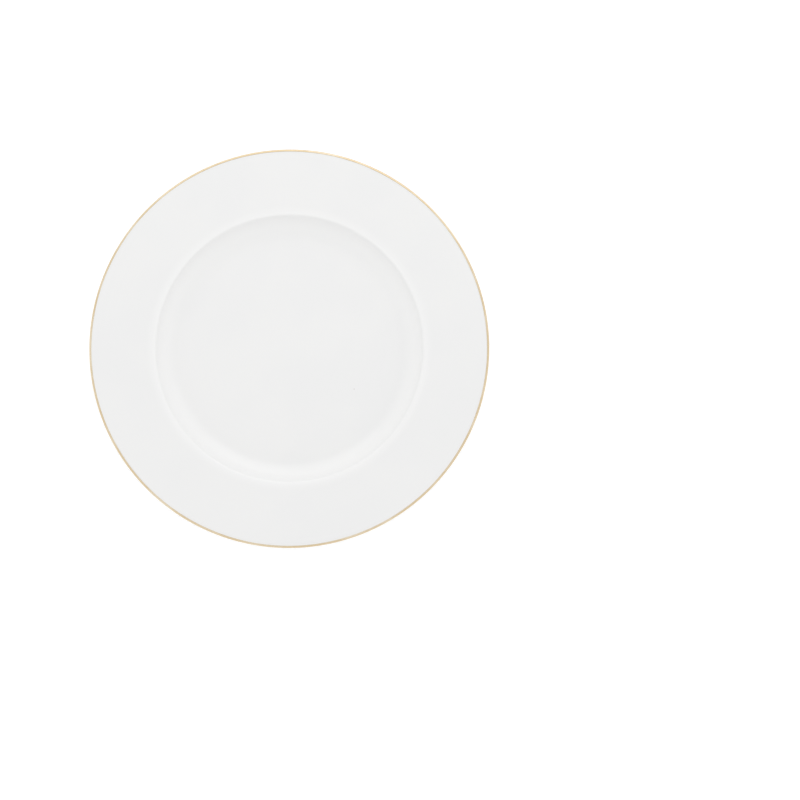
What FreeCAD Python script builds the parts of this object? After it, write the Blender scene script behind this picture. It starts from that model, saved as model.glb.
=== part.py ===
import FreeCAD, Part

import math
import os

# A white porcelain dinner plate with a gold line on its rim, lying on its foot ring.
# Millimetres, +Z up, origin under the plate's centre on the table.
#
# Everything is turned about +Z. One closed half section of the fired body is drawn in
# (radius, height), clockwise: out along the face, down the lip, back along the underside,
# round the foot ring and in to the axis. The glaze and the gold are coats laid outward
# from stretches of that section.

# Overall shape, measured over the coats
PLATE_DIAMETER = 270.0
FLOOR_HEIGHT = 8.4        # well floor above the table, and so the pitch of a stack
VERGE_RADIUS = 90.9       # shoulder between the well's wall and the rim
VERGE_HEIGHT = 16.9
WALL_SLOPE = 52.0         # well wall at its steepest, degrees above level
RIM_SLOPE = 5.3           # face of the rim
RIM_BACK_SLOPE = 6.3      # back of the rim, which thickens towards the verge

# Coats
GLAZE = 0.25
GOLD = 0.1
GOLD_WIDTH = 1.2          # gold line on the face, in from the edge
GOLD_DROP = 1.3           # gold line down the lip, from the top of the edge

# Thickness of the fired body
FLOOR_THICKNESS = 3.7
WALL_THICKNESS = 3.2
LIP_THICKNESS = 2.5

# Foot ring
FOOT_OUTER_RADIUS = 71.0
FOOT_INNER_RADIUS = 67.4
FOOT_DRAFT = 20.0         # each side of the ring, degrees from upright
BARE_HEIGHT = 0.9         # how far up the ring the glaze is wiped off

# Rounding of the body's corners
WELL_ROUND = 19.0
VERGE_ROUND = 2.3
LIP_TOP_ROUND = 0.75
LIP_BACK_ROUND = 0.95
VERGE_BACK_ROUND = 6.0
WELL_BACK_ROUND = 18.0
FOOT_ROOT_ROUND = 2.2
FOOT_EDGE_ROUND = 0.7
SHARP = 0.0
COAT_SPANS = 6            # equal spans in each arc of a coat, so that its two sides facet alike

AXIS_BASE = FreeCAD.Vector(0, 0, 0)
AXIS = FreeCAD.Vector(0, 0, 1)
FULL_TURN = 360.0


def point(radius, height):
    return FreeCAD.Vector(radius, 0, height)


def heading(degrees):
    """Unit vector in the section, so many degrees above level."""
    angle = math.radians(degrees)
    return point(math.cos(angle), math.sin(angle))


def left_of(direction):
    """Outward side of the section's outline, for a step along it."""
    return point(-direction.z, direction.x)


def crossing(start, start_dir, other, other_dir):
    """Where two straight lines of the section meet."""
    gap = other - start
    scale = start_dir.x * other_dir.z - start_dir.z * other_dir.x
    along = (gap.x * other_dir.z - gap.z * other_dir.x) / scale
    return start + start_dir * along


def step(start, end):
    return (end - start).normalize()


def body_section():
    """The body's stretches: each a list of (corner, rounding), ending where the next begins."""
    edge = PLATE_DIAMETER / 2 - GLAZE - GOLD
    floor = FLOOR_HEIGHT - GLAZE
    floor_back = floor - FLOOR_THICKNESS
    verge = point(VERGE_RADIUS, VERGE_HEIGHT - GLAZE)
    wall_dir = heading(WALL_SLOPE)
    level = heading(0)

    well_corner = crossing(point(0, floor), level, verge, wall_dir)
    lip_top = crossing(verge, heading(RIM_SLOPE), point(edge, 0), AXIS)
    lip_back = point(edge, lip_top.z - LIP_THICKNESS)
    lip_parting = point(edge, (lip_top.z + lip_back.z) / 2)

    wall_back = verge - left_of(wall_dir) * WALL_THICKNESS
    verge_back = crossing(lip_back, heading(RIM_BACK_SLOPE), wall_back, wall_dir)
    well_back = crossing(point(0, floor_back), level, wall_back, wall_dir)

    flare = math.tan(math.radians(FOOT_DRAFT))
    outer_root = point(FOOT_OUTER_RADIUS + floor_back * flare, floor_back)
    outer_bare = point(FOOT_OUTER_RADIUS + BARE_HEIGHT * flare, BARE_HEIGHT)
    inner_root = point(FOOT_INNER_RADIUS - floor_back * flare, floor_back)
    inner_bare = point(FOOT_INNER_RADIUS - BARE_HEIGHT * flare, BARE_HEIGHT)

    face = [(point(0, floor), SHARP), (well_corner, WELL_ROUND), (verge, VERGE_ROUND),
            (lip_top, LIP_TOP_ROUND), (lip_parting, SHARP)]
    underside = [(lip_parting, SHARP), (lip_back, LIP_BACK_ROUND),
                 (verge_back, VERGE_BACK_ROUND), (well_back, WELL_BACK_ROUND),
                 (outer_root, FOOT_ROOT_ROUND), (outer_bare, SHARP)]
    foot = [(outer_bare, SHARP), (point(FOOT_OUTER_RADIUS, 0), FOOT_EDGE_ROUND),
            (point(FOOT_INNER_RADIUS, 0), FOOT_EDGE_ROUND), (inner_bare, SHARP)]
    recess = [(inner_bare, SHARP), (inner_root, FOOT_ROOT_ROUND), (point(0, floor_back), SHARP)]
    return face, underside, foot, recess


def laid_out(stretch, coat):
    """The same stretch of outline, moved outward by a coat's thickness."""
    corners = [corner for corner, rounding in stretch]
    steps = [step(a, b) for a, b in zip(corners, corners[1:])]
    moved = [(corners[0] + left_of(steps[0]) * coat, SHARP)]
    for i, (before, after) in enumerate(zip(steps, steps[1:]), start=1):
        corner, rounding = stretch[i]
        lifted = crossing(corner + left_of(before) * coat, before,
                          corner + left_of(after) * coat, after)
        bulges = before.x * after.z - before.z * after.x < 0
        moved.append((lifted, rounding + coat if bulges else rounding - coat))
    moved.append((corners[-1] + left_of(steps[-1]) * coat, SHARP))
    return moved


def spans_of(arc, count):
    """An arc as so many equal arcs end to end."""
    first, last = arc.ParameterRange
    stops = [first + (last - first) * i / count for i in range(count + 1)]
    return [Part.Edge(arc.Curve, a, b) for a, b in zip(stops, stops[1:])]


def rounded_edges(stretch, spans=1):
    """Straight runs joined by tangent arcs at the corners, each arc in so many spans."""
    edges = []
    start = stretch[0][0]
    for (before, _), (corner, rounding), (after, _) in zip(stretch, stretch[1:], stretch[2:]):
        into, out = step(before, corner), step(corner, after)
        half_turn = into.getAngle(out) / 2
        reach = rounding * math.tan(half_turn)
        arc_start, arc_end = corner - into * reach, corner + out * reach
        bulge = rounding / math.cos(half_turn) - rounding
        arc_middle = corner + (out - into).normalize() * bulge
        edges.append(Part.makeLine(start, arc_start))
        edges += spans_of(Part.Arc(arc_start, arc_middle, arc_end).toShape(), spans)
        start = arc_end
    edges.append(Part.makeLine(start, stretch[-1][0]))
    return edges


def turned(edges):
    """Solid of revolution from the edges of a closed half section."""
    section = Part.Face(Part.Wire(Part.sortEdges(edges)[0]))
    solid = section.revolve(AXIS_BASE, AXIS, FULL_TURN)
    return solid if solid.Volume > 0 else solid.reversed()


def make_body(stretches):
    """The fired body: every stretch in turn, closed along the axis."""
    edges = [edge for stretch in stretches for edge in rounded_edges(stretch)]
    edges.append(Part.makeLine(stretches[-1][-1][0], stretches[0][0][0]))
    return turned(edges)


def make_coat(inside, outside):
    """A coat between two matching stretches of outline."""
    edges = rounded_edges(inside, COAT_SPANS) + rounded_edges(outside, COAT_SPANS)
    for end in (0, -1):
        edges.append(Part.makeLine(inside[end][0], outside[end][0]))
    return turned(edges)


def make_glaze(stretch):
    return make_coat(stretch, laid_out(stretch, GLAZE))


def make_gold(face):
    """The gold line: over the glaze, from the rim's face round the lip's upper corner."""
    verge, lip_top = face[2][0], face[3]
    edge, top = lip_top[0].x, lip_top[0].z
    start_radius = edge - GOLD_WIDTH
    rise = (lip_top[0] - verge) * (1 / (edge - verge.x))
    start = verge + rise * (start_radius - verge.x)
    band = [(start, SHARP), lip_top, (point(edge, top - GOLD_DROP), SHARP)]
    return make_coat(laid_out(band, GLAZE), laid_out(band, GLAZE + GOLD))


def make_parts():
    face, underside, foot, recess = body_section()
    return {
        "porcelain_body": make_body((face, underside, foot, recess)),
        "face_glaze": make_glaze(face),
        "underside_glaze": make_glaze(underside),
        "foot_recess_glaze": make_glaze(recess),
        "gold_rim_band": make_gold(face),
    }


os.makedirs("parts", exist_ok=True)
for name, shape in make_parts().items():
    shape.exportStep("parts/" + name + ".step")
    box = shape.optimalBoundingBox()
    print(name, shape.ShapeType, "valid", shape.isValid(), "volume", round(shape.Volume, 1),
          "radius", round(box.XMax, 3), "height", round(box.ZMin, 3), round(box.ZMax, 3))
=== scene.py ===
import math

import bmesh
import bpy
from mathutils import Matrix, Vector


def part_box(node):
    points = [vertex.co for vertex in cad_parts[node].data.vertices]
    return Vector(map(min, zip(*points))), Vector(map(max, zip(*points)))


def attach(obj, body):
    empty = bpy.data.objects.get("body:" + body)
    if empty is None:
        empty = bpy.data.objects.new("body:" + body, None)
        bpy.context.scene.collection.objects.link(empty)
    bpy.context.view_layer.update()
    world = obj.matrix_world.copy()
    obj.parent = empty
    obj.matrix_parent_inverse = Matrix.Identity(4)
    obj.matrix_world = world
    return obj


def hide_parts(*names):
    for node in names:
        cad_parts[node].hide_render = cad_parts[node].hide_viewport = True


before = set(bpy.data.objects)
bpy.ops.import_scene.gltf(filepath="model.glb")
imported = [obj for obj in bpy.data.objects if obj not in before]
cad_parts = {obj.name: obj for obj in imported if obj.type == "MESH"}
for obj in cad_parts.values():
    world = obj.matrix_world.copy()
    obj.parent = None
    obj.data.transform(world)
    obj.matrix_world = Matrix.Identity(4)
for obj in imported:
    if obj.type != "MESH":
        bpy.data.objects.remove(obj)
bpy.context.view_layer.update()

# A white glazed porcelain dinner plate with a gold line on its rim. Metres, +Z up, the
# plate's centre over the origin and its foot ring on the floor at height 0.
#
# The visible plate is five lathed pieces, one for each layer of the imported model: the fired
# body, three stretches of glaze and the gold line. They share one section, drawn in
# (radius, height), and one slight warp from the kiln.

MM = 0.001

# Sizes read from the frame
BODY_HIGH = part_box("porcelain_body")[1]
FACE_LOW, FACE_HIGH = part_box("face_glaze")
UNDERSIDE_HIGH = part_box("underside_glaze")[1]
RECESS_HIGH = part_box("foot_recess_glaze")[1]
GOLD_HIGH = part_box("gold_rim_band")[1]
BODY_EDGE = BODY_HIGH.x
BODY_FLOOR = FACE_LOW.z
BODY_FLOOR_BACK = RECESS_HIGH.z
LIP_PARTING = UNDERSIDE_HIGH.z
GLAZE = FACE_HIGH.x - BODY_HIGH.x
GOLD = GOLD_HIGH.x - FACE_HIGH.x
PLATE_RADIUS = GOLD_HIGH.x

# The rest of the section, as in the design
VERGE_RADIUS = 90.9 * MM
VERGE_HEIGHT = 16.9 * MM
WALL_SLOPE = 52.0
RIM_SLOPE = 5.3
RIM_BACK_SLOPE = 6.3
WALL_THICKNESS = 3.2 * MM
LIP_THICKNESS = 2.5 * MM
FOOT_OUTER_RADIUS = 71.0 * MM
FOOT_INNER_RADIUS = 67.4 * MM
FOOT_DRAFT = 20.0
BARE_HEIGHT = 0.9 * MM
WELL_ROUND = 19.0 * MM
VERGE_ROUND = 2.3 * MM
LIP_TOP_ROUND = 0.75 * MM
LIP_BACK_ROUND = 0.95 * MM
VERGE_BACK_ROUND = 6.0 * MM
WELL_BACK_ROUND = 18.0 * MM
FOOT_ROOT_ROUND = 2.2 * MM
FOOT_EDGE_ROUND = 0.7 * MM
SHARP = 0.0                   # the rounding of a corner that has none
GOLD_WIDTH = 1.2 * MM
GOLD_DROP = 1.3 * MM

# Mesh fineness
TURN_STEPS = 360
ARC_STEP = math.radians(5)
ARC_LEAST = 5
RUN_STEP = 4 * MM
SHARP_EDGE = math.radians(50)
ON_AXIS = 1e-9                # a point nearer the axis than this lies on it

# The kiln's slight warp, all of it inward and down, so that the plate stays in its box. Each
# wave is (share, waves round the plate, phase), and the shares add up to 1.
WARP_LIFT = 0.12 * MM
WARP_OVAL = 0.10 * MM
WARP_STARTS = 74.0 * MM
LIFT_WAVES = ((0.6, 2, 0.7), (0.4, 3, 2.1))
OVAL_WAVES = ((0.7, 2, 2.4), (0.3, 5, 0.4))


# ---------------------------------------------------------------- the section

def heading(degrees):
    angle = math.radians(degrees)
    return Vector((math.cos(angle), math.sin(angle)))


def left_of(direction):
    """Outward side of the outline, which runs clockwise."""
    return Vector((-direction.y, direction.x))


def cross(a, b):
    return a.x * b.y - a.y * b.x


def crossing(start, start_dir, other, other_dir):
    return start + start_dir * (cross(other - start, other_dir) / cross(start_dir, other_dir))


def step(start, end):
    return (end - start).normalized()


def body_section():
    """The body's four stretches of outline, each a list of (corner, rounding)."""
    verge = Vector((VERGE_RADIUS, VERGE_HEIGHT - GLAZE))
    wall = heading(WALL_SLOPE)
    level = heading(0)
    upright = heading(90)
    floor = Vector((0, BODY_FLOOR))
    floor_back = Vector((0, BODY_FLOOR_BACK))

    well_corner = crossing(floor, level, verge, wall)
    lip_top = crossing(verge, heading(RIM_SLOPE), Vector((BODY_EDGE, 0)), upright)
    lip_back = Vector((BODY_EDGE, lip_top.y - LIP_THICKNESS))
    parting = Vector((BODY_EDGE, LIP_PARTING))

    wall_back = verge - left_of(wall) * WALL_THICKNESS
    verge_back = crossing(lip_back, heading(RIM_BACK_SLOPE), wall_back, wall)
    well_back = crossing(floor_back, level, wall_back, wall)

    flare = math.tan(math.radians(FOOT_DRAFT))
    outer_root = Vector((FOOT_OUTER_RADIUS + BODY_FLOOR_BACK * flare, BODY_FLOOR_BACK))
    outer_bare = Vector((FOOT_OUTER_RADIUS + BARE_HEIGHT * flare, BARE_HEIGHT))
    inner_root = Vector((FOOT_INNER_RADIUS - BODY_FLOOR_BACK * flare, BODY_FLOOR_BACK))
    inner_bare = Vector((FOOT_INNER_RADIUS - BARE_HEIGHT * flare, BARE_HEIGHT))

    face = [(floor, SHARP), (well_corner, WELL_ROUND), (verge, VERGE_ROUND),
            (lip_top, LIP_TOP_ROUND), (parting, SHARP)]
    underside = [(parting, SHARP), (lip_back, LIP_BACK_ROUND), (verge_back, VERGE_BACK_ROUND),
                 (well_back, WELL_BACK_ROUND), (outer_root, FOOT_ROOT_ROUND), (outer_bare, SHARP)]
    foot = [(outer_bare, SHARP), (Vector((FOOT_OUTER_RADIUS, 0)), FOOT_EDGE_ROUND),
            (Vector((FOOT_INNER_RADIUS, 0)), FOOT_EDGE_ROUND), (inner_bare, SHARP)]
    recess = [(inner_bare, SHARP), (inner_root, FOOT_ROOT_ROUND), (floor_back, SHARP)]
    return face, underside, foot, recess


def laid_out(stretch, coat):
    """The same stretch moved outward by a coat's thickness."""
    corners = [corner for corner, _ in stretch]
    steps = [step(a, b) for a, b in zip(corners, corners[1:])]
    moved = [(corners[0] + left_of(steps[0]) * coat, SHARP)]
    for (corner, rounding), before, after in zip(stretch[1:], steps, steps[1:]):
        lifted = crossing(corner + left_of(before) * coat, before,
                          corner + left_of(after) * coat, after)
        bulges = cross(before, after) < 0
        moved.append((lifted, rounding + coat if bulges else rounding - coat))
    moved.append((corners[-1] + left_of(steps[-1]) * coat, SHARP))
    return moved


def run_points(start, end):
    """Points from start up to end, end left out."""
    count = max(1, round((end - start).length / RUN_STEP))
    return [start.lerp(end, i / count) for i in range(count)]


def arc_points(start, centre, turn):
    """Points from start round the centre by a turn, the last one left out."""
    count = max(ARC_LEAST, round(abs(turn) / ARC_STEP))
    spoke = start - centre
    points = []
    for i in range(count):
        angle = turn * i / count
        turned = Vector((spoke.x * math.cos(angle) - spoke.y * math.sin(angle),
                         spoke.x * math.sin(angle) + spoke.y * math.cos(angle)))
        points.append(centre + turned)
    return points


def outline_points(stretch):
    """Straight runs joined by tangent arcs, as points a lathe can turn."""
    points = []
    start = stretch[0][0]
    for (before, _), (corner, rounding), (after, _) in zip(stretch, stretch[1:], stretch[2:]):
        into, out = step(before, corner), step(corner, after)
        turn = math.atan2(cross(into, out), into.dot(out))
        reach = rounding * math.tan(abs(turn) / 2)
        arc_start, arc_end = corner - into * reach, corner + out * reach
        side = left_of(into) if turn > 0 else -left_of(into)
        points += run_points(start, arc_start)
        points += arc_points(arc_start, arc_start + side * rounding, turn)
        start = arc_end
    points += run_points(start, stretch[-1][0])
    points.append(stretch[-1][0])
    return points


# ---------------------------------------------------------------- turning

def wave_sum(angle, waves):
    """The height of several waves round the plate, between -1 and 1."""
    return sum(share * math.cos(count * angle + phase) for share, count, phase in waves)


def fired(point, angle):
    """Where a point of the section lies once the kiln has warped the plate a little."""
    # Waves less 1 run from -2 to 0, so half of them moves a point only inward and down
    share = max(0.0, point.x - WARP_STARTS) / (PLATE_RADIUS - WARP_STARTS)
    lift = wave_sum(angle, LIFT_WAVES) - 1
    oval = wave_sum(angle, OVAL_WAVES) - 1
    radius = point.x + WARP_OVAL / 2 * oval * share
    height = point.y + WARP_LIFT / 2 * lift * share ** 2
    return Vector((radius * math.cos(angle), radius * math.sin(angle), height))


def turned_rings(mesh, section):
    """Vertices of the section at each angle. A point on the axis is one vertex for them all."""
    rings = []
    for i in range(TURN_STEPS):
        angle = math.tau * i / TURN_STEPS
        rings.append([fired(point, angle) for point in section(angle)])
    count = len(rings[0])
    on_axis = [rings[0][k].xy.length < ON_AXIS for k in range(count)]
    poles = {k: mesh.verts.new((0, 0, rings[0][k].z)) for k in range(count) if on_axis[k]}
    return [[poles[k] if on_axis[k] else mesh.verts.new(ring[k]) for k in range(count)]
            for ring in rings]


def join_rings(mesh, rings):
    """Faces between each ring and the next, all round. At the axis they are triangles."""
    for here, there in zip(rings, rings[1:] + rings[:1]):
        for k in range(len(here)):
            m = (k + 1) % len(here)
            corners = []
            for vert in (here[k], here[m], there[m], there[k]):
                if vert not in corners:
                    corners.append(vert)
            if len(corners) > 2:
                mesh.faces.new(corners)


def turned_piece(name, section, material):
    """Lathes a closed section, given for each angle, into an object."""
    mesh = bmesh.new()
    join_rings(mesh, turned_rings(mesh, section))
    bmesh.ops.recalc_face_normals(mesh, faces=mesh.faces)
    data = bpy.data.meshes.new(name)
    mesh.to_mesh(data)
    mesh.free()
    data.shade_smooth()
    data.set_sharp_from_angle(angle=SHARP_EDGE)
    data.materials.append(material)
    piece = bpy.data.objects.new(name, data)
    bpy.context.scene.collection.objects.link(piece)
    return piece


# ---------------------------------------------------------------- materials

# Colours are linear. A noise's scale is its cells in a metre. A pair is where a value starts and
# stops counting. A set of four is such a pair and what comes out at its two ends.

# Glaze: its whites, and a painted light for the well's wall
GLAZE_WHITE = (0.870, 0.870, 0.866, 1)
GLAZE_CLOUD = (0.860, 0.861, 0.860, 1)
GLAZE_POOLED = (0.83, 0.842, 0.845, 1)
GLAZE_THIN = (0.875, 0.855, 0.825, 1)
# Painted light: the well's wall is painted about 6 per cent lighter than the glaze, standing in for
# light falling on it
WALL_PAINTED_LIGHT = (0.92, 0.92, 0.915, 1)
GLAZE_SPECK = (0.45, 0.41, 0.36, 1)
GLAZE_IOR = 1.5

# Glaze: where each white and the painted light lie
CLOUD_SCALE = 22
CLOUD_RANGE = (0.4, 0.65)
POOL_WIDTH = 9 * MM
PAINTED_LIGHT_MIDDLE = VERGE_RADIUS - 4 * MM
PAINTED_LIGHT_WIDTH = 11 * MM
LIP_WIDTH = 1.0 * MM
SPECK_CELLS = 70.0
SPECK_EDGE = (0.012, 0.022)   # from a cell's middle, in cells
SPECK_SCALE = 31
SPECK_RANGE = (0.62, 0.66)

# Glaze: gloss and relief
GLOSS_SCALE = 60
GLOSS_DETAIL = 4.0
GLOSS_RANGE = (0.3, 0.7)
GLAZE_ROUGHNESS = (0.035, 0.065)         # at the two ends of the gloss's range
RING_DEPTH = 0.006 * MM
RING_PITCH = 5.5 * MM
RING_SWAY = 4.0
RING_SWAY_SCALE = 14
RIPPLE_DEPTH = 0.016 * MM
RIPPLE_SCALE = 75
PEEL_DEPTH = 0.0015 * MM
PEEL_SCALE = 1500
SMOOTH_DETAIL = 1.0

# Bare porcelain
BARE_WHITE = (0.80, 0.775, 0.735, 1)
BARE_GREY = (0.67, 0.64, 0.60, 1)
BARE_SCUFF = (0.40, 0.38, 0.36, 1)
GREY_SCALE = 900
GREY_RANGE = (0.35, 0.7)
SCUFF_SCALE = 160
SCUFF_RANGE = (0.45, 0.62)
SCUFF_HEIGHT = 0.25 * MM
SCUFF_SHARE = 0.6
BARE_ROUGHNESS = 0.85
BARE_POLISH = 0.25            # how much smoother the part that stands on the table is
GRAIN_SCALE = 2600
GRAIN_DEPTH = 0.02 * MM
BARE_DETAIL = 3.0
SCUFF_DETAIL = 4.0

# Gold
GOLD_FULL = (0.74, 0.605, 0.41, 1)
GOLD_THIN = (0.82, 0.72, 0.55, 1)
STREAKS_ROUND = 6.0           # streaks in a radian round the rim
STREAK_WIDTH = 0.12 * MM
STREAK_DEPTH = 0.004 * MM
THIN_STREAKS = (0.35, 0.65, 0.5, 1.0)
PATCH_SCALE = 55
THIN_PATCHES = (0.4, 0.7)
GOLD_DETAIL = 3.0
STREAK_ROUGHNESS = (0.3, 0.7, 0.16, 0.27)
PATCH_ROUGHNESS = (0.3, 0.7, 0.0, 0.08)

# Floor
FLOOR_WHITE = (0.93, 0.93, 0.93, 1)
FLOOR_LIGHT = (1, 1, 1, 1)
FLOOR_GLOW = 0.24

# The sockets of a Mix node that are for colour
MIX_FACTOR, MIX_FIRST, MIX_SECOND, MIX_RESULT = 0, 6, 7, 2


def new_node(tree, kind, inputs, **settings):
    """A shader node. An input is a number, a colour or another node's output."""
    made = tree.nodes.new(kind)
    for key, value in settings.items():
        setattr(made, key, value)
    for key, value in inputs.items():
        if isinstance(value, bpy.types.NodeSocket):
            tree.links.new(value, made.inputs[key])
        else:
            made.inputs[key].default_value = value
    return made


def calculate(tree, operation, *values):
    return new_node(tree, "ShaderNodeMath", dict(enumerate(values)), operation=operation).outputs[0]


def fade(tree, value, low, high, at_low=0.0, at_high=1.0):
    """Smooth passage from at_low to at_high as the value goes from low to high."""
    inputs = {"Value": value, "From Min": low, "From Max": high, "To Min": at_low, "To Max": at_high}
    made = new_node(tree, "ShaderNodeMapRange", inputs, interpolation_type="SMOOTHSTEP")
    return made.outputs["Result"]


def near(tree, value, middle, reach):
    """1 where the value is at the middle, down to 0 at the reach from it."""
    away = calculate(tree, "ABSOLUTE", calculate(tree, "SUBTRACT", value, middle))
    return fade(tree, away, 0, reach, 1, 0)


def blend(tree, factor, colour, other):
    """From one colour to the other as the factor goes from 0 to 1."""
    inputs = {MIX_FACTOR: factor, MIX_FIRST: colour, MIX_SECOND: other}
    return new_node(tree, "ShaderNodeMix", inputs, data_type="RGBA").outputs[MIX_RESULT]


def cloud(tree, place, scale, detail=2.0):
    inputs = {"Vector": place, "Scale": scale, "Detail": detail}
    return new_node(tree, "ShaderNodeTexNoise", inputs).outputs[0]


def relief(tree, height, depth, below=None):
    """The normals of a surface with this height on it, over the relief below, if there is one."""
    inputs = {"Height": height, "Distance": depth, "Strength": 1.0}
    if below is not None:
        inputs["Normal"] = below
    return new_node(tree, "ShaderNodeBump", inputs).outputs[0]


def plate_places(tree):
    """Where a surface point is: its place, its distance from the axis, its height, its turn."""
    place = new_node(tree, "ShaderNodeTexCoord", {}).outputs["Object"]
    x, y, z = new_node(tree, "ShaderNodeSeparateXYZ", {0: place}).outputs
    squares = calculate(tree, "ADD", calculate(tree, "MULTIPLY", x, x),
                        calculate(tree, "MULTIPLY", y, y))
    return place, calculate(tree, "SQRT", squares), z, calculate(tree, "ARCTAN2", y, x)


def new_material(name):
    material = bpy.data.materials.new(name)
    material.use_nodes = True
    return material, material.node_tree, material.node_tree.nodes["Principled BSDF"]


def glaze_colour(tree, place, radius, height):
    """Cloudy white, cooler where it pooled, painted light on the wall, warmer at the lip, few
    specks.
    """
    clouds = fade(tree, cloud(tree, place, CLOUD_SCALE), *CLOUD_RANGE)
    colour = blend(tree, clouds, GLAZE_WHITE, GLAZE_CLOUD)
    foot_root = near(tree, radius, FOOT_OUTER_RADIUS + FOOT_ROOT_ROUND, POOL_WIDTH)
    below = fade(tree, height, BODY_FLOOR_BACK - GLAZE, BODY_FLOOR, 1, 0)
    pooled = calculate(tree, "MULTIPLY", foot_root, below)
    colour = blend(tree, pooled, colour, GLAZE_POOLED)
    # Painted light: a band round the well's wall is made lighter, standing in for light falling
    # there
    wall = near(tree, radius, PAINTED_LIGHT_MIDDLE, PAINTED_LIGHT_WIDTH)
    colour = blend(tree, wall, colour, WALL_PAINTED_LIGHT)
    lip = fade(tree, radius, PLATE_RADIUS - LIP_WIDTH, PLATE_RADIUS)
    colour = blend(tree, lip, colour, GLAZE_THIN)
    cells = new_node(tree, "ShaderNodeTexVoronoi", {"Vector": place, "Scale": SPECK_CELLS})
    speck = fade(tree, cells.outputs["Distance"], *SPECK_EDGE, 1, 0)
    rare = fade(tree, cloud(tree, place, SPECK_SCALE), *SPECK_RANGE)
    return blend(tree, calculate(tree, "MULTIPLY", speck, rare), colour, GLAZE_SPECK)


def glaze_relief(tree, place, radius):
    """Rings from the forming wheel, a slow ripple and a fine orange peel, one on another."""
    sway = calculate(tree, "MULTIPLY", cloud(tree, place, RING_SWAY_SCALE), RING_SWAY)
    across = calculate(tree, "MULTIPLY", radius, math.tau / RING_PITCH)
    rounds = calculate(tree, "SINE", calculate(tree, "ADD", across, sway))
    rings = relief(tree, rounds, RING_DEPTH)
    ripple = relief(tree, cloud(tree, place, RIPPLE_SCALE, SMOOTH_DETAIL), RIPPLE_DEPTH, rings)
    return relief(tree, cloud(tree, place, PEEL_SCALE, SMOOTH_DETAIL), PEEL_DEPTH, ripple)


def glaze_material():
    material, tree, shader = new_material("white_glaze")
    place, radius, height, _ = plate_places(tree)
    gloss = fade(tree, cloud(tree, place, GLOSS_SCALE, GLOSS_DETAIL), *GLOSS_RANGE, *GLAZE_ROUGHNESS)
    tree.links.new(glaze_colour(tree, place, radius, height), shader.inputs["Base Color"])
    tree.links.new(gloss, shader.inputs["Roughness"])
    tree.links.new(glaze_relief(tree, place, radius), shader.inputs["Normal"])
    shader.inputs["IOR"].default_value = GLAZE_IOR
    return material


def bare_material():
    """Unglazed porcelain: matt and sandy, greyed and scuffed where it stands."""
    material, tree, shader = new_material("bare_porcelain")
    place, _, height, _ = plate_places(tree)
    grey = fade(tree, cloud(tree, place, GREY_SCALE, BARE_DETAIL), *GREY_RANGE)
    colour = blend(tree, grey, BARE_WHITE, BARE_GREY)
    standing = fade(tree, height, 0, SCUFF_HEIGHT, 1, 0)
    worn = fade(tree, cloud(tree, place, SCUFF_SCALE, SCUFF_DETAIL), *SCUFF_RANGE)
    scuffed = calculate(tree, "MULTIPLY", calculate(tree, "MULTIPLY", standing, worn), SCUFF_SHARE)
    tree.links.new(blend(tree, scuffed, colour, BARE_SCUFF), shader.inputs["Base Color"])
    polish = calculate(tree, "MULTIPLY", standing, BARE_POLISH)
    rough = calculate(tree, "SUBTRACT", BARE_ROUGHNESS, polish)
    tree.links.new(rough, shader.inputs["Roughness"])
    grain = relief(tree, cloud(tree, place, GRAIN_SCALE, BARE_DETAIL), GRAIN_DEPTH)
    tree.links.new(grain, shader.inputs["Normal"])
    return material


def gold_material():
    """Burnished gold, brushed round the rim on a turning wheel, paler where it lies thin."""
    material, tree, shader = new_material("gold")
    place, radius, height, turn = plate_places(tree)
    across = calculate(tree, "ADD", radius, height)
    inputs = {"X": calculate(tree, "MULTIPLY", turn, STREAKS_ROUND),
              "Y": calculate(tree, "MULTIPLY", across, 1 / STREAK_WIDTH), "Z": 0.0}
    round_rim = new_node(tree, "ShaderNodeCombineXYZ", inputs).outputs[0]
    streaks = cloud(tree, round_rim, 1.0, GOLD_DETAIL)
    patches = cloud(tree, place, PATCH_SCALE, GOLD_DETAIL)
    thin = calculate(tree, "MULTIPLY", fade(tree, patches, *THIN_PATCHES),
                     fade(tree, streaks, *THIN_STREAKS))
    tree.links.new(blend(tree, thin, GOLD_FULL, GOLD_THIN), shader.inputs["Base Color"])
    shader.inputs["Metallic"].default_value = 1.0
    gloss = calculate(tree, "ADD", fade(tree, streaks, *STREAK_ROUGHNESS),
                      fade(tree, patches, *PATCH_ROUGHNESS))
    tree.links.new(gloss, shader.inputs["Roughness"])
    tree.links.new(relief(tree, streaks, STREAK_DEPTH), shader.inputs["Normal"])
    return material


def floor_material():
    """Plain white, matt and lit a little from within."""
    material, _, shader = new_material("floor_white")
    shader.inputs["Base Color"].default_value = FLOOR_WHITE
    shader.inputs["Roughness"].default_value = 1.0
    shader.inputs["Specular IOR Level"].default_value = 0.0
    shader.inputs["Emission Color"].default_value = FLOOR_LIGHT
    shader.inputs["Emission Strength"].default_value = FLOOR_GLOW
    return material


# ---------------------------------------------------------------- pieces

WIPE_WAVE = 0.14 * MM         # how far the sponged edge of the glaze wanders at the foot
BAND_WAVE = 0.07 * MM         # how far the hand-banded gold's edges wander
EDGE_WAVES = ((0.5, 3, 1), (0.3, 8, 2.3), (0.2, 19, 3.9))
OUTER_WIPE, INNER_WIPE = 0.5, 2.9        # the phases of the four wandering edges
BAND_ON_FACE, BAND_ON_LIP = 1.3, 4.1
BEAD_STEPS = 6                # faces round the half round that ends a coat


def wander(angle, phase):
    """A slow uneven wave round the plate, between -1 and 1, that its phase makes its own."""
    return wave_sum(angle, [(share, count, spread * phase) for share, count, spread in EDGE_WAVES])


def moved_end(stretch, distance):
    """The stretch with its last corner moved along its last run."""
    along = step(stretch[-2][0], stretch[-1][0])
    return stretch[:-1] + [(stretch[-1][0] + along * distance, SHARP)]


def moved_start(stretch, distance):
    return moved_end(stretch[::-1], distance)[::-1]


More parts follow.
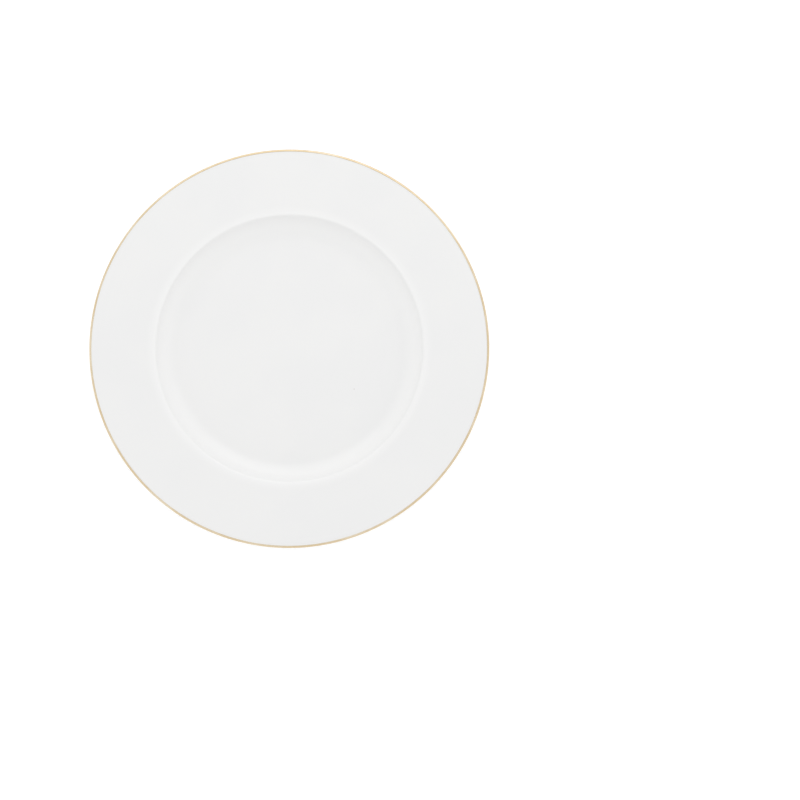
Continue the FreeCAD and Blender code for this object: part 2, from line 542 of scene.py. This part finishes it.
def bead(first, last):
    """The half round that ends a coat, from one side of it to the other."""
    middle = first.lerp(last, 0.5)
    spoke = first - middle
    turns = [math.pi * i / BEAD_STEPS for i in range(1, BEAD_STEPS)]
    return [middle + spoke * math.cos(turn) + left_of(spoke) * math.sin(turn) for turn in turns]


def coat_points(stretch, thickness, bead_at=""):
    """Closed outline of a coat: out along its inner side and back along its outer side."""
    inner = outline_points(stretch)
    outer = outline_points(laid_out(stretch, thickness))
    if bead_at == "end":
        inner += bead(inner[-1], outer[-1])
    if bead_at == "start":
        return inner + outer[::-1] + bead(outer[0], inner[0])
    return inner + outer[::-1]


def make_body(stretches, material):
    points = []
    for stretch in stretches:
        points += outline_points(stretch)[:-1]
    points.append(stretches[-1][-1][0])
    body = turned_piece("body", lambda angle: points, material)
    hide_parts("porcelain_body")
    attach(body, "root")


def make_glaze(name, node, section, material):
    coat = turned_piece(name, section, material)
    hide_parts(node)
    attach(coat, "root")


def gold_band(face, angle):
    """The part of the face's outline that the gold covers, at this angle."""
    verge, _ = face[2]
    lip_top, rounding = face[3]
    rim = step(verge, lip_top)
    start = lip_top - rim * (GOLD_WIDTH / rim.x)
    low_end = Vector((lip_top.x, lip_top.y - GOLD_DROP))
    band = [(start, SHARP), (lip_top, rounding), (low_end, SHARP)]
    band = moved_start(band, BAND_WAVE * wander(angle, BAND_ON_FACE))
    return moved_end(band, BAND_WAVE * wander(angle, BAND_ON_LIP))


def make_gold(face, material):
    line = turned_piece("gold_line",
                        lambda angle: coat_points(laid_out(gold_band(face, angle), GLAZE), GOLD),
                        material)
    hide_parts("gold_rim_band")
    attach(line, "root")


def make_plate():
    face, underside, foot, recess = body_section()
    glaze = glaze_material()
    face_points = coat_points(face, GLAZE)
    make_body((face, underside, foot, recess), bare_material())
    make_glaze("glaze_of_face", "face_glaze", lambda angle: face_points, glaze)
    make_glaze("glaze_of_underside", "underside_glaze",
               lambda angle: coat_points(moved_end(underside, WIPE_WAVE * wander(angle, OUTER_WIPE)),
                                         GLAZE, "end"), glaze)
    make_glaze("glaze_of_foot_recess", "foot_recess_glaze",
               lambda angle: coat_points(moved_start(recess, WIPE_WAVE * wander(angle, INNER_WIPE)),
                                         GLAZE, "start"), glaze)
    make_gold(face, gold_material())


# ---------------------------------------------------------------- studio

VIEW_ELEVATION = 86.0
LENS = 105.0                  # millimetres, as the sensor's width
SENSOR = 36.0
PLATE_SHARE = 0.5008          # of the picture's width, across the plate
PLATE_LEFT = 0.1385           # the plate's centre from the picture's, in picture widths
PLATE_UP = 0.0657
FLOOR_REACH = 4.0             # from its middle to each side
FLOOR_CELLS = 8
FLOOR_DROP = 0.02 * MM        # so that the foot ring's face isn't in the floor's plane


def make_camera():
    data = bpy.data.cameras.new("camera")
    data.lens = LENS
    data.sensor_width = SENSOR
    camera = bpy.data.objects.new("camera", data)
    bpy.context.scene.collection.objects.link(camera)
    distance = 2 * PLATE_RADIUS * LENS / (SENSOR * PLATE_SHARE)
    width = distance * SENSOR / LENS
    tilt = math.radians(VIEW_ELEVATION)
    back = Vector((0, -math.cos(tilt), math.sin(tilt)))
    right = Vector((1, 0, 0))
    up = back.cross(right)
    rim_centre = Vector((0, 0, GOLD_HIGH.z))
    camera.location = (rim_centre + back * distance
                       + right * PLATE_LEFT * width - up * PLATE_UP * width)
    camera.rotation_mode = "QUATERNION"
    camera.rotation_quaternion = (-back).to_track_quat("-Z", "Y")
    bpy.context.scene.camera = camera


def make_floor():
    mesh = bmesh.new()
    bmesh.ops.create_grid(mesh, x_segments=FLOOR_CELLS, y_segments=FLOOR_CELLS, size=FLOOR_REACH)
    data = bpy.data.meshes.new("floor")
    mesh.to_mesh(data)
    mesh.free()
    data.materials.append(floor_material())
    floor = bpy.data.objects.new("floor", data)
    floor.location.z = -FLOOR_DROP
    bpy.context.scene.collection.objects.link(floor)


# Soft light: a white room that is a little brighter at the horizon, the floor's own glow, and
# two softboxes behind the plate (+Y), as (place, size, power)
ROOM_GLOW = 0.925
HORIZON_GLOW = 0.08
HORIZON_REACH = 0.16          # sine of the elevation where the brighter horizon has faded out
SOFTBOXES = {
    "key": (Vector((0.32, 0.55, 0.64)), 0.8, 0.34),
    "top": (Vector((-0.05, 0.50, 0.50)), 0.7, 0.46),
}


def make_softbox(name, place, size, power):
    data = bpy.data.lights.new(name, "AREA")
    data.shape = "DISK"
    data.size = size
    data.energy = power
    light = bpy.data.objects.new(name, data)
    light.location = place
    light.rotation_mode = "QUATERNION"
    light.rotation_quaternion = (-place).to_track_quat("-Z", "Y")
    light.visible_camera = False
    bpy.context.scene.collection.objects.link(light)


def make_world():
    world = bpy.data.worlds.new("studio")
    world.use_nodes = True
    tree = world.node_tree
    aim = new_node(tree, "ShaderNodeTexCoord", {}).outputs["Generated"]
    z = new_node(tree, "ShaderNodeSeparateXYZ", {0: aim}).outputs["Z"]
    horizon = calculate(tree, "MULTIPLY", near(tree, z, 0.0, HORIZON_REACH), HORIZON_GLOW)
    sky = tree.nodes["Background"]
    sky.inputs["Color"].default_value = (1, 1, 1, 1)
    tree.links.new(calculate(tree, "ADD", horizon, ROOM_GLOW), sky.inputs["Strength"])
    bpy.context.scene.world = world


make_plate()
make_floor()
make_world()
for name, (place, size, power) in SOFTBOXES.items():
    make_softbox(name, place, size, power)
make_camera()
bpy.context.scene.view_settings.view_transform = "Standard"
